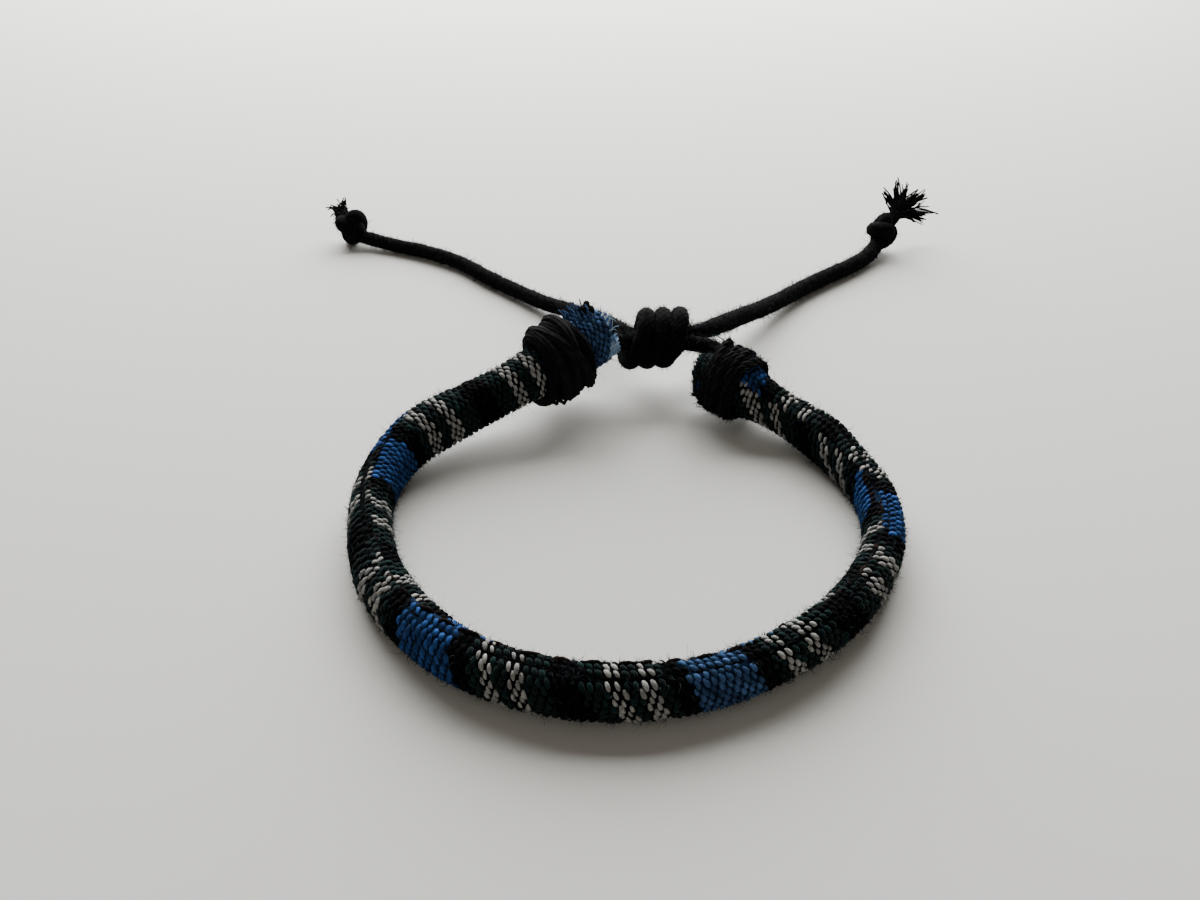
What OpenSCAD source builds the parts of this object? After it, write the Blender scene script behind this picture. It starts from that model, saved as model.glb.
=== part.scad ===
// Rolled woven bracelet: a padded fabric tube bent to an open ring, each end
// whipped with black yarn, closed by two tie cords through one sliding knot.
// It lies on its side on a surface at z = 0, with the closure at the back (+Y).

/* [Band] */
// Flattening of the cloth where it rests on the surface
band_sag = 0.2; // [0.05:0.05:0.4]
// Squareness of the padded section, 2 is an ellipse
band_squareness = 2.3; // [2:0.1:3]
// Thickness that the lapped edge stands up along the seam
lap_rise = 0.35; // [0.2:0.05:0.5]
// Wall of the rolled cloth round each raw mouth
mouth_wall = 1; // [0.8:0.1:1.2]
// Depth of the open mouth at each raw end
mouth_depth = 1.6; // [1:0.1:2]

/* [Bindings] */
// Thickness of the yarn round the left end
left_yarn_d = 1.15; // [0.9:0.05:1.15]
// Turns of yarn round the left end
left_turns = 5; // [3:1:5]
// Thickness of the yarn round the right end
right_yarn_d = 0.7; // [0.5:0.05:0.7]
// Turns of yarn round the right end
right_turns = 9; // [5:1:9]
// Clearance between the band and the yarn wound on it
wrap_gap = 0.2; // [0.18:0.01:0.25]
// How far the turns lean along the band at their tops, as a share of a row
wrap_lean = 0.1; // [0:0.01:0.12]

/* [Cords] */
// Diameter of the cord from the left end of the band
left_cord_d = 2.7; // [2.4:0.1:2.7]
// Diameter of the cord from the right end of the band
right_cord_d = 2.4; // [2.2:0.1:2.4]
// Diameter of both cords where the sliding knot grips them
gripped_cord_d = 2.1; // [1.9:0.05:2.1]
// Diameter of the cord that the knots are tied from
knot_cord_d = 2.0; // [1.8:0.05:2.2]
// Turns of the sliding knot
knot_turns = 3; // [2.5:0.5:3]
// Distance between neighbouring turns of the sliding knot
knot_pitch = 2.5; // [2.45:0.05:2.6]
// How far the top of each knot turn leans to the right of its foot
knot_lean = 1.6; // [0:0.1:1.8]
// Clearance between the cords and the pieces that they meet
piece_gap = 0.12; // [0.11:0.01:0.18]

/* [Ends] */
// Radius of the core that shows between the strands of a stopper knot
stopper_core = 2.15; // [2:0.05:2.2]
// How far the strands of a stopper knot stand up from its core
strand_rise = 0.7; // [0.5:0.05:0.8]
// How much taller than wide the left stopper knot is
left_stretch = 1.15; // [1:0.05:1.15]
// How much taller than wide the right stopper knot is
right_stretch = 1.35; // [1:0.05:1.35]
// Length of the frayed end past the right stopper
right_fray_length = 6; // [5:0.5:9]
// Length of the frayed end past the left stopper
left_fray_length = 3; // [3:0.5:6]

/* [Hidden] */

knot_cord_r = knot_cord_d / 2;
up = [0, 0, 1];

// The band, from the left raw edge round the front to the right raw edge.
// A section each row: place, height of the underside, half width, half height,
// seam angle from the top toward the outside, share of the lap that shows
X = 0;
Y = 1;
LIFT = 2;
HALF_W = 3;
HALF_H = 4;
SEAM = 5;
LAP = 6;
band_rows = [
    [ -2.6,  27.4, 5.2, 3.1, 3.9,  70, 0.0],
    [ -5.2,  25.2, 4.7, 3.3, 4.4,  70, 0.0],
    [ -8.8,  22.2, 4.1, 3.5, 4.3,  65, 0.0],
    [-13.4,  19.0, 3.6, 2.9, 3.6,  60, 0.4],
    [-21.2,  13.9, 1.9, 2.7, 3.4,  45, 1.0],
    [-27.8,   7.9, 0.7, 2.6, 3.3,  25, 1.0],
    [-30.5,   0.4, 0.1, 2.5, 3.2,   5, 1.0],
    [-29.6,  -8.1, 0.0, 2.5, 3.1,  -5, 1.0],
    [-25.8, -16.6, 0.0, 2.4, 3.0,   0, 1.0],
    [-19.2, -24.2, 0.0, 2.3, 3.0,  10, 1.0],
    [-10.1, -28.6, 0.0, 2.4, 3.0,  15, 1.0],
    [ -0.2, -29.8, 0.0, 2.4, 3.0,  15, 1.0],
    [  9.5, -28.0, 0.0, 2.4, 3.0,  12, 1.0],
    [ 18.7, -23.5, 0.0, 2.3, 3.0,   5, 1.0],
    [ 25.8, -16.9, 0.0, 2.4, 3.0, -10, 1.0],
    [ 30.2,  -9.0, 0.0, 2.4, 3.0, -25, 1.0],
    [ 31.0,  -0.2, 0.0, 2.4, 2.9, -32, 1.0],
    [ 28.1,   7.7, 0.1, 2.3, 2.8, -36, 1.0],
    [ 23.8,  13.9, 0.6, 2.3, 2.8, -38, 1.0],
    [ 20.0,  17.2, 1.3, 2.6, 3.3, -40, 0.4],
    [ 17.0,  19.3, 1.4, 3.4, 4.2, -40, 0.0],
    [ 13.9,  20.9, 2.1, 3.1, 3.8, -40, 0.0],
    [ 10.7,  22.0, 3.0, 2.5, 3.0, -40, 0.0]
];
band_last = len(band_rows) - 1;
band_steps = 4;
band_sides = 22;
heading_step = 0.05;
seam_step_angle = 4;
mouth_taper = 0.1;

// Where each binding starts and ends along the band, counted in rows
left_wrap = [1.34, 2.62];
right_wrap = [19.3, 21.55];
wrap_segments = 16;
yarn_sides = 6;

// The sliding knot: its middle, the heading of its axis and its fineness
knot_middle = [5.4, 28.3, 8.0];
knot_heading = 4;
knot_start_angle = -110;
knot_segments = 20;
knot_sides = 10;
knot_hole_r = gripped_cord_d + piece_gap;
grip_reach = 5.5;

// Route of the cord from the left end, through the knot, to the right stopper
left_route = [
    [-3.4, 26.9, 8.8], [-2.0, 27.3, 8.6], [-0.5, 27.2, 8.3], [1.1, 26.9, 8.1],
    [3.2, 27.4, 8.8], [5.4, 28.3, 9.1], [7.6, 29.2, 8.8], [9.7, 29.7, 8.0],
    [11.6, 30.7, 7.5], [13.4, 32.4, 7.0], [15.4, 35.0, 6.2], [17.6, 37.9, 5.3],
    [20.2, 41.3, 4.3], [23.2, 45.0, 3.2], [27.2, 49.9, 2.1], [31.8, 55.0, 1.5],
    [37.0, 59.6, 1.4], [42.2, 63.8, 1.4], [45.9, 67.3, 1.5], [48.5, 70.9, 2.0]
];

// Route of the cord from the right end, through the knot, to the left stopper
right_route = [
    [12.8, 25.2, 8.4], [11.9, 25.7, 8.3], [10.9, 26.4, 8.1], [9.7, 27.1, 7.8],
    [7.6, 27.7, 7.2], [5.4, 28.3, 6.9], [3.2, 28.9, 7.2], [1.5, 29.9, 7.6],
    [0.3, 31.6, 7.4], [-1.0, 33.9, 6.8], [-2.6, 37.0, 5.7], [-4.9, 41.0, 4.3],
    [-8.0, 45.4, 2.9], [-12.1, 49.7, 1.8], [-16.8, 54.3, 1.4], [-22.4, 59.6, 1.3],
    [-28.6, 65.7, 1.3], [-35.2, 69.9, 1.3], [-41.4, 72.6, 1.3], [-47.9, 75.2, 1.8]
];
cord_sides = 8;

left_stopper_place = [-50.1, 76.5, 3.4];
right_stopper_place = [49.9, 73.2, 3.9];
stopper_rings = 12;
stopper_sides = 20;
stopper_pole = 3;
strand_reach = 0.44;

// Strands that cross on a stopper: a row holds the normal of the strand's
// plane and how far that plane lies from the middle, as a share of the radius
left_strands = [
    [[ 0.90,  0.10,  0.42], -0.30],
    [[ 0.75, -0.35, -0.56],  0.34],
    [[-0.20,  0.92,  0.34],  0.05]
];
right_strands = [
    [[ 0.94,  0.22,  0.26], -0.34],
    [[ 0.86, -0.30, -0.41],  0.30],
    [[ 0.10,  0.62,  0.78],  0.10]
];

// Heading and climb of each frayed end, and the reach of each of its locks
left_fray_turn = [150, 35];
right_fray_turn = [38, 36];
left_locks = [0.9, 0.5, 1.0, 0.6, 0.8];
right_locks = [0.8, 1.0, 0.75, 0.95, 0.7, 1.0, 0.85];
fray_rings = 7;
lock_sides = 4;
fray_flatness = 0.75;
left_spread = 1.9;
right_spread = 5.4;
fray_head_r = 1.1;

// How far the valleys between locks open, how short they stay, and how deep
// and wide the hollow inside the locks is, each as a share
valley_open = 0.35;
valley_short = 0.5;
hollow_depths = [0.8, 0.6];
hollow_width = 0.6;
pit_depth = 0.3;

function unit(v) = v / norm(v);

// A smooth curve through rows of numbers, each number of a row by itself
function curve_value(a, b, c, d, t) =
    0.5 * (2 * b + (c - a) * t + (2 * a - 5 * b + 4 * c - d) * t * t
        + (3 * b - a - 3 * c + d) * t * t * t);

function curve_row(rows, u) =
    let (last = len(rows) - 1)
    let (i = min(floor(u), last - 1), t = u - i)
    let (before = i > 0 ? rows[i - 1] : 2 * rows[0] - rows[1])
    let (after = i + 2 <= last ? rows[i + 2] : 2 * rows[last] - rows[last - 1])
    curve_value(before, rows[i], rows[i + 1], after, t);

// A point on a rounded-square outline with half sizes of one
function outline_part(value) =
    sign(value) * pow(abs(value), 2 / band_squareness);

// The middle line of the band, and its level heading
function band_middle(row) = [row[X], row[Y], row[LIFT] + row[HALF_H] - band_sag];

function band_heading(u) =
    let (a = curve_row(band_rows, max(u - heading_step, 0)))
    let (b = curve_row(band_rows, min(u + heading_step, band_last)))
    unit([b[X] - a[X], b[Y] - a[Y], 0]);

// A point round the band: angle 0 faces outward and 90 faces up
function band_point(u, angle, grow_w, grow_h) =
    let (row = curve_row(band_rows, u), along = band_heading(u))
    let (outward = [along[Y], -along[X], 0])
    band_middle(row)
        + outward * (row[HALF_W] + grow_w) * outline_part(cos(angle))
        + up * (row[HALF_H] + grow_h) * outline_part(sin(angle));

function on_surface(p) = [p[X], p[Y], max(p[2], 0)];

// The angle of a side, counted from the seam, whose first side is the step
function side_angle(seam, j) =
    90 - seam - (j == 0 ? 0
        : seam_step_angle + (360 - seam_step_angle) * (j - 1) / (band_sides - 1));

// One ring of the band: the lap stands up at the seam and thins out round it
function band_ring(u, inset, slide) =
    let (row = curve_row(band_rows, u), along = band_heading(u))
    [for (j = [0 : band_sides - 1])
        let (lap = j == 0 ? 0 : 1 - (j - 1) / (band_sides - 1))
        let (rise = lap_rise * row[LAP] * lap - inset)
        on_surface(band_point(u, side_angle(row[SEAM], j), rise, rise))
            + along * slide];

// Triangles between rings of equal size, with a flat cap on each end
function skin_faces(rings, sides) = concat(
    [[for (j = [0 : sides - 1]) j]],
    [for (i = [0 : rings - 2], j = [0 : sides - 1])
        let (a = i * sides + j, b = i * sides + (j + 1) % sides)
        each [[a, a + sides, b], [b, a + sides, b + sides]]],
    [[for (j = [sides - 1 : -1 : 0]) (rings - 1) * sides + j]]
);

module skin(rings) {
    sides = len(rings[0]);
    polyhedron([for (ring = rings) each ring], skin_faces(len(rings), sides));
}

// A ring of a round tube, square to the path, with its first side toward facing
function tube_ring(point, along, facing, radius, sides) =
    let (side = unit(facing - along * (facing * along)))
    let (other = cross(along, side))
    [for (j = [0 : sides - 1])
        let (angle = 360 * j / sides)
        point + radius * (cos(angle) * side + sin(angle) * other)];

function path_along(path, i) =
    unit(path[min(i + 1, len(path) - 1)] - path[max(i - 1, 0)]);

module tube(path, facings, radius, sides) {
    skin([for (i = [0 : len(path) - 1])
        tube_ring(path[i], path_along(path, i), facings[i], radius, sides)]);
}

// A cord is thinner where the sliding knot grips it
function cord_radius(point, thick) =
    let (away = norm(point - knot_middle) / grip_reach - 1)
    (gripped_cord_d + (thick - gripped_cord_d) * min(1, max(0, away))) / 2;

// A cord laid along its route, with a ring at each point and one between
module cord(route, thick) {
    path = [for (i = [0 : 2 * len(route) - 2]) curve_row(route, i / 2)];
    skin([for (i = [0 : len(path) - 1])
        tube_ring(path[i], path_along(path, i), up, cord_radius(path[i], thick),
            cord_sides)]);
}

// Yarn wound round the band between two places
module winding(span, turns, yarn_d) {
    count = turns * wrap_segments;
    clear = wrap_gap + yarn_d / 2;
    places = [for (i = [0 : count]) span[0] + (span[1] - span[0]) * i / count];
    angles = [for (i = [0 : count]) 90 + 360 * i / wrap_segments];
    leaning = [for (i = [0 : count]) places[i] - wrap_lean * sin(angles[i])];
    path = [for (i = [0 : count]) band_point(leaning[i], angles[i], clear, clear)];
    middles = [for (u = leaning) band_middle(curve_row(band_rows, u))];
    facings = [for (i = [0 : count]) path[i] - middles[i]];
    tube(path, facings, yarn_d / 2, yarn_sides);
}

module fabric_band() {
    count = band_last * band_steps;
    rings = [for (i = [0 : count]) band_ring(i / band_steps, 0, 0)];
    color("darkslategray")
        skin(concat(
            [band_ring(0, mouth_wall + mouth_taper, mouth_depth)],
            [band_ring(0, mouth_wall, 0)],
            rings,
            [band_ring(band_last, mouth_wall, 0)],
            [band_ring(band_last, mouth_wall + mouth_taper, -mouth_depth)]
        ));
}

module left_binding() {
    color("black") winding(left_wrap, left_turns, left_yarn_d);
}

module right_binding() {
    color("black") winding(right_wrap, right_turns, right_yarn_d);
}

// A coil of cord round both tie cords, whose turns lean at the top
module sliding_knot() {
    count = knot_turns * knot_segments;
    radius = knot_hole_r + knot_cord_r;
    angles = [for (i = [0 : count]) 360 * i / knot_segments + knot_start_angle];
    path = [for (i = [0 : count])
        [knot_pitch * (i / knot_segments - knot_turns / 2) + knot_lean / 2 * sin(angles[i]),
            -radius * cos(angles[i]), radius * sin(angles[i])]];
    facings = [for (p = path) [0, p[Y], p[2]]];
    color("black")
        translate(knot_middle) rotate([0, 0, knot_heading])
            tube(path, facings, knot_cord_r, knot_sides);
}

module left_tie_cord() {
    color("black") cord(left_route, left_cord_d);
}

module right_tie_cord() {
    color("black") cord(right_route, right_cord_d);
}

// The height of a strand over the core of a stopper, in one direction
function strand_height(direction, strand) =
    let (miss = (direction * unit(strand[0]) - strand[1]) / strand_reach)
    sqrt(max(0, 1 - miss * miss));

function stopper_radius(direction, strands) =
    stopper_core + strand_rise * max([for (s = strands) strand_height(direction, s)]);

// A drawn-up stopper knot: strands of cord that cross over a small core
module stopper(strands, stretch) {
    skin([for (i = [0 : stopper_rings])
        let (polar = max(stopper_pole, min(180 - stopper_pole, 180 * i / stopper_rings)))
        [for (j = [0 : stopper_sides - 1])
            let (turn = 360 * j / stopper_sides)
            let (d = [cos(turn) * sin(polar), sin(turn) * sin(polar), -cos(polar)])
            let (p = d * stopper_radius(d, strands))
            [p[X], p[Y], p[2] * stretch]]]);
}

// How far a flat face square to a climbing line clears a stopper
function stopper_reach(climb, stretch) =
    (stopper_core + strand_rise) * norm([cos(climb), stretch * sin(climb)]) + piece_gap;

module left_stopper_knot() {
    color("black") translate(left_stopper_place) stopper(left_strands, left_stretch);
}

module right_stopper_knot() {
    color("black") translate(right_stopper_place) stopper(right_strands, right_stretch);
}

// One ring of a frayed end, whose sides rise into locks as it opens
function fray_ring(t, length, locks, spread, share) =
    [for (j = [0 : len(locks) * lock_sides - 1])
        let (lock = locks[floor(j / lock_sides)])
        let (crest = 0.5 - 0.5 * cos(360 * (j % lock_sides) / lock_sides))
        let (reach = 1 - valley_short * t * (1 - lock * crest))
        let (open = (spread - fray_head_r) * t * t * (valley_open + (1 - valley_open) * crest))
        let (radius = (fray_head_r + open) * share)
        let (angle = 360 * j / (len(locks) * lock_sides))
        [length * t * reach, radius * cos(angle), fray_flatness * radius * sin(angle)]];

// A frayed end: a round head that opens into separate pointed locks
module frayed_end(length, locks, spread) {
    pit = [for (p = fray_ring(0, length, locks, spread, pit_depth))
        p + [pit_depth * length, 0, 0]];
    skin(concat(
        [for (i = [0 : fray_rings]) fray_ring(i / fray_rings, length, locks, spread, 1)],
        [for (t = hollow_depths) fray_ring(t, length, locks, spread, hollow_width)],
        [pit]
    ));
}

module at_stopper(place, turn, stretch) {
    translate(place)
        rotate([0, -turn[1], turn[0]])
            translate([stopper_reach(turn[1], stretch), 0, 0])
                children();
}

module left_frayed_end() {
    color("black")
        at_stopper(left_stopper_place, left_fray_turn, left_stretch)
            frayed_end(left_fray_length, left_locks, left_spread);
}

module right_frayed_end() {
    color("black")
        at_stopper(right_stopper_place, right_fray_turn, right_stretch)
            frayed_end(right_fray_length, right_locks, right_spread);
}

fabric_band();
left_binding();
right_binding();
sliding_knot();
left_tie_cord();
right_tie_cord();
left_stopper_knot();
right_stopper_knot();
left_frayed_end();
right_frayed_end();
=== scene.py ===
import math
import bpy
import numpy as np
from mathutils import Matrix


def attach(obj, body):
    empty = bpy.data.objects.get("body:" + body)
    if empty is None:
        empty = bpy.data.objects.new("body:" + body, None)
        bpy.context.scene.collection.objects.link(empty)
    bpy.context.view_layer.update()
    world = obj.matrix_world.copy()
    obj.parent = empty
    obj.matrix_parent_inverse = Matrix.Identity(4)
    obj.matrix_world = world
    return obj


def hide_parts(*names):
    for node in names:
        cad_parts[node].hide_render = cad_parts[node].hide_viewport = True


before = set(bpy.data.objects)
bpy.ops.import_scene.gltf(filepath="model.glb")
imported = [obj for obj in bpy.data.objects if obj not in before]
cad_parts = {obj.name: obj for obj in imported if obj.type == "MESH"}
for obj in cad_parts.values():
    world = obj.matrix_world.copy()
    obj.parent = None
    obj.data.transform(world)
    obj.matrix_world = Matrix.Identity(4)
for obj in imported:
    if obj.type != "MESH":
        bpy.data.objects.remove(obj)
scene = bpy.context.scene
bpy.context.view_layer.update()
chance = np.random.default_rng(7)
metres = 0.001      # a millimetre in metres
print("frame loaded")


# shared helpers, all lengths in millimetres until makePiece turns them to metres
def spline(rows, at):
    # a smooth curve through rows of numbers, read at places that count the rows from 0
    rows = np.asarray(rows, float)
    ends = np.vstack([2 * rows[0] - rows[1], rows, 2 * rows[-1] - rows[-2]])
    i = np.clip(np.floor(at).astype(int), 0, len(rows) - 2)
    t = (at - i)[:, None]
    a, b, c, d = ends[i], ends[i + 1], ends[i + 2], ends[i + 3]
    return 0.5 * (2 * b + (c - a) * t + (2 * a - 5 * b + 4 * c - d) * t ** 2
                  + (3 * b - a - 3 * c + d) * t ** 3)


def unit(vectors):
    return vectors / np.maximum(np.linalg.norm(vectors, axis=-1, keepdims=True), 1e-9)


def runLengths(points):
    # how far along its line each point lies
    return np.concatenate([[0], np.cumsum(np.linalg.norm(np.diff(points, axis=0), axis=1))])


def evenSteps(points, step):
    lengths = runLengths(points)
    at = np.linspace(0, lengths[-1], max(4, int(lengths[-1] / step)))
    return np.stack([np.interp(at, lengths, points[:, k]) for k in range(3)], 1), at


def carriedFrame(points):
    along = unit(np.gradient(points, axis=0))
    side = np.zeros_like(points)
    side[0] = unit(np.cross(along[0], [0.3, 0.2, 1]))
    for i in range(1, len(points)):
        side[i] = unit(side[i - 1] - along[i] * (side[i - 1] @ along[i]))
    return along, side, np.cross(along, side)


def turned(a, b, degrees):
    # two of a line's three columns, turned about the third
    t = math.radians(degrees)
    return a * math.cos(t) - b * math.sin(t), a * math.sin(t) + b * math.cos(t)


def uneven(at, waves):
    # a thickness that wanders along a cord or yarn; each wave has a height, a rate and a start
    return sum((height * np.sin(at * rate + start) for height, rate, start in waves), 1)


def tubeFaces(rows, around):
    # quads between rings of points, and a fan at each end to a point of its own
    i = np.arange(rows - 1)[:, None] * around
    j = np.arange(around)[None, :]
    k = (j + 1) % around
    quads = np.stack([i + j, i + k, i + around + k, i + around + j], -1).reshape(-1, 4).tolist()
    first, base = rows * around, (rows - 1) * around
    fans = [[first, (q + 1) % around, q] for q in range(around)]
    return quads + fans + [[first + 1, base + q, base + (q + 1) % around] for q in range(around)]


def tube(points, radius, sides, relief=None, tone=0.5):
    # a closed tube with rounded ends; its lay attribute holds round-and-along millimetres
    along, side, over = carriedFrame(points)
    at = runLengths(points)
    radius = np.broadcast_to(np.asarray(radius, float), (len(points),)).copy()
    turn = np.arange(sides) / sides * 2 * math.pi
    swell = radius[:, None] + (relief(turn, at[:, None]) if relief else 0)
    rings = points[:, None] + swell[..., None] * (side[:, None] * np.cos(turn)[:, None]
                                                  + over[:, None] * np.sin(turn)[:, None])
    lay = np.stack([radius[:, None] * np.cos(turn), radius[:, None] * np.sin(turn), at[:, None] + 0 * turn], -1)
    caps = []
    for end, sign in ((0, -1), (-1, 1)):
        for lift in (0.5, 0.85):
            drawnIn = (rings[end] - points[end]) * math.sqrt(1 - lift ** 2)
            caps.append(points[end] + drawnIn + along[end] * sign * lift * radius[end])
        caps.append(points[end] + along[end] * sign * radius[end])
    rows = [caps[1], caps[0], *rings, caps[3], caps[4]]
    verts = np.vstack([*rows, caps[2][None], caps[5][None]])
    lay = np.vstack([lay[0], lay[0], *lay, lay[-1], lay[-1], lay[0][:1], lay[-1][:1]])
    return {"verts": verts, "faces": tubeFaces(len(rows), sides), "lay": lay, "tone": np.full(len(verts), tone)}


def makePiece(name, parts, material):
    offset, faces = 0, []
    for part in parts:
        faces.extend([[v + offset for v in face] for face in part["faces"]])
        offset += len(part["verts"])
    verts = np.vstack([part["verts"] for part in parts]) * metres
    mesh = bpy.data.meshes.new(name)
    mesh.from_pydata(verts.tolist(), [], faces)
    lay = mesh.attributes.new("lay", "FLOAT_VECTOR", "POINT")
    lay.data.foreach_set("vector", np.vstack([part["lay"] for part in parts]).astype(np.float32).ravel())
    tone = mesh.attributes.new("tone", "FLOAT", "POINT")
    tone.data.foreach_set("value", np.concatenate([part["tone"] for part in parts]).astype(np.float32))
    mesh.polygons.foreach_set("use_smooth", np.ones(len(mesh.polygons), bool))
    mesh.materials.append(material)
    piece = bpy.data.objects.new(name, mesh)
    scene.collection.objects.link(piece)
    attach(piece, "root")
    return piece


def linear(code):
    values = [int(code[i:i + 2], 16) / 255 for i in (1, 3, 5)]
    return tuple(v / 12.92 if v <= 0.04045 else ((v + 0.055) / 1.055) ** 2.4 for v in values) + (1,)


def addNode(tree, kind, settings, links=()):
    node = tree.nodes.new(kind)
    for key, value in settings.items():
        if hasattr(node, key):
            setattr(node, key, value)
        else:
            node.inputs[key].default_value = value
    for socket, source in links:
        tree.links.new(source, node.inputs[socket])
    return node


def startMaterial(name, settings):
    material = bpy.data.materials.new(name)
    material.use_nodes = True
    tree = material.node_tree
    tree.nodes.clear()
    shader = addNode(tree, "ShaderNodeBsdfPrincipled", settings)
    addNode(tree, "ShaderNodeOutputMaterial", {}, [("Surface", shader.outputs["BSDF"])])
    return material, tree, shader


# camera, fitted to the ring, knot and tails of the photograph
cameraSet = {"place": (-0.0028, -0.086, 0.0773), "tiltDeg": 51.76, "lens": 27.4, "sensor": 36, "nearest": 0.005}
cameraData = bpy.data.cameras.new("tableCamera")
cameraData.lens = cameraSet["lens"]
cameraData.sensor_width = cameraSet["sensor"]
cameraData.clip_start = cameraSet["nearest"]
camera = bpy.data.objects.new("tableCamera", cameraData)
camera.location = cameraSet["place"]
camera.rotation_euler = (math.radians(cameraSet["tiltDeg"]), 0, 0)
scene.collection.objects.link(camera)
scene.camera = camera
print("camera placed")


# materials: spun cotton as thread, yarn and cord, dry and almost without shine
# single fibres are too fine to show, so bundles of them are drawn, about five times as long as wide; the noise that
# raises them in the bump also lightens them, and darkens the hollows between, as painted highlight and painted shade
# over their own uneven tone
cottonSet = {
    "rough": 0.95, "ior": 1.5, "gloss": 0.04, "sheen": 0, "bundlesPerMm": 6, "stretch": 0.22,
    "bundleToneAndShade": (0.6, 1.3), "bump": 0.6, "bumpMm": 0.06,      # the darkest and lightest bundles: their own uneven tone, with painted shade in the hollows and painted highlight on the raised bundles
}
# yarn and cord: a wider spread of the bundles, so their painted highlight on raised fibre and painted shade in the
# hollows are stronger
yarnLook = {"bundlesPerMm": 5, "bundleToneAndShade": (0.35, 2), "bump": 1}


def threadMaterial(name, colours, **changes):
    # the tone of each thread picks a place between the colours, and the fibres run along it
    look = {**cottonSet, **changes}
    material, tree, shader = startMaterial(name, {
        "Roughness": look["rough"], "IOR": look["ior"], "Specular IOR Level": look["gloss"],
        "Sheen Weight": look["sheen"]})
    tone, lay = [addNode(tree, "ShaderNodeAttribute", {"attribute_name": word}) for word in ("tone", "lay")]
    along = addNode(tree, "ShaderNodeMapping", {"Scale": (1, 1, look["stretch"])}, [("Vector", lay.outputs["Vector"])])
    fibres = addNode(tree, "ShaderNodeTexNoise", {"Scale": look["bundlesPerMm"], "Detail": 3, "Roughness": 0.6},
                     [("Vector", along.outputs["Vector"])])
    ramp = addNode(tree, "ShaderNodeValToRGB", {}, [("Fac", tone.outputs["Fac"])])
    ramp.color_ramp.elements[0].color = linear(colours[0])
    ramp.color_ramp.elements[1].color = linear(colours[-1])
    for n, code in enumerate(colours[1:-1], 1):
        ramp.color_ramp.elements.new(n / (len(colours) - 1)).color = linear(code)
    # the fibre noise darkens where the bump sinks and lightens where it rises: painted shade and highlight, mixed with
    # the bundles' real uneven tone
    depth = addNode(tree, "ShaderNodeMapRange", {
        "From Min": 0.25, "From Max": 0.75, "To Min": look["bundleToneAndShade"][0], "To Max": look["bundleToneAndShade"][1],
    }, [("Value", fibres.outputs["Fac"])])
    shade = addNode(tree, "ShaderNodeMix", {"data_type": "RGBA", "blend_type": "MULTIPLY"},
                    [(6, ramp.outputs["Color"]), (7, depth.outputs["Result"])])
    shade.inputs[0].default_value = 1.0
    tree.links.new(shade.outputs[2], shader.inputs["Base Color"])
    bump = addNode(tree, "ShaderNodeBump", {"Strength": look["bump"], "Distance": look["bumpMm"] * metres},
                   [("Height", fibres.outputs["Fac"])])
    tree.links.new(bump.outputs["Normal"], shader.inputs["Normal"])
    return material


# dyed cotton: matt, no two threads quite the same blue; three colours of a clear blue, then three greyer ones
blueCotton = threadMaterial("blueDyedCotton", ["#142645", "#1c355e", "#28487d", "#1f2d43", "#2a3e5b", "#3a5379"])
# undyed cotton: off-white and matt, greyer in its hollows as painted shade
whiteCotton = threadMaterial("undyedCotton", ["#676663", "#797875", "#898884"])
# black dyed cotton: deep and flat, with hardly a highlight
blackCotton = threadMaterial("blackDyedCotton", ["#030304", "#050506", "#09090b"], gloss=0.03)
# dark green dyed cotton: nearly black, green where light grazes it
greenCotton = threadMaterial("darkGreenDyedCotton", ["#060e0e", "#081514", "#0c201f"], sheen=0.04, gloss=0.03)
# cloth under the threads: dark gaps, bluish under the blue stripes
coreCloth = threadMaterial("shadowedCloth", ["#030304", "#0e1a2c"], rough=1.0, bundlesPerMm=5.0, gloss=0.02)
# soft plied cotton yarn: black, with lighter streaks of fibre that are partly painted highlight and darker hollows of
# painted shade
blackYarn = threadMaterial("blackPliedYarn", ["#050505", "#0d0c0d", "#1c1b1d"], gloss=0.03, **yarnLook)
# braided cotton cord: black, its strands flecked lighter, partly as painted highlight
blackCord = threadMaterial("blackBraidedCord", ["#040404", "#080808", "#101011"], gloss=0.025, **yarnLook)
# thick sewing yarn: brownish black, warmer than the cloth
brownThread = threadMaterial("brownBlackSewingThread", ["#040303", "#0d0807", "#1c110e"])
# cut thread ends: worn pale, from light blue to greyish white
paleThread = threadMaterial("frayedPaleThread", ["#3d6796", "#7f99b4", "#b5b0a8"],
                            rough=0.9, sheen=0.03, gloss=0.08, bump=0.4)
# loose cotton fibres: hair-thin and dark, a little lighter against the light
fuzzFibre = threadMaterial("looseCottonFibre", ["#06080a", "#12191c", "#2f3d42"], gloss=0.05, bump=0.2)
blackFibre = threadMaterial("looseBlackFibre", ["#040405", "#0b0d0e", "#22282a"], gloss=0.05, bump=0.2)
print("materials made")


# the two tie cords, a round braid of black cotton
cordSet = {
    "step": 0.24, "sides": 40, "strands": 16, "braidPitch": 7, "braidRelief": 0.075,
    "leftRadius": 1.32, "rightRadius": 1.2, "waves": ((0.02, 1.3, 0), (0.015, 3.1, 0), (0.01, 7.7, 0)),
    "gripReach": 5.5, "fullReach": 11, "gripRadius": 1.05,      # pinched in the knot and full again past it
    "tuckReach": 4, "tuckRadius": 0.75,      # drawn in where it leaves the band
}
leftRoute = [
    (-3.4, 26.9, 8.8), (-2, 27.3, 8.6), (-0.5, 27.2, 8.3), (1.1, 26.9, 8.1), (3.2, 27.4, 8.8),
    (5.4, 28.3, 9.1), (7.6, 29.2, 8.8), (9.7, 29.7, 8), (11.6, 30.7, 7.5), (13.4, 32.4, 7),
    (15.4, 35, 6.2), (17.6, 37.9, 5.3), (20.2, 41.3, 4.3), (23.2, 45, 3.2), (27.2, 49.9, 2.1),
    (31.8, 55, 1.5), (37, 59.6, 1.4), (42.2, 63.8, 1.4), (45.9, 67.3, 1.5), (48.5, 70.9, 2),
]
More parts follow.
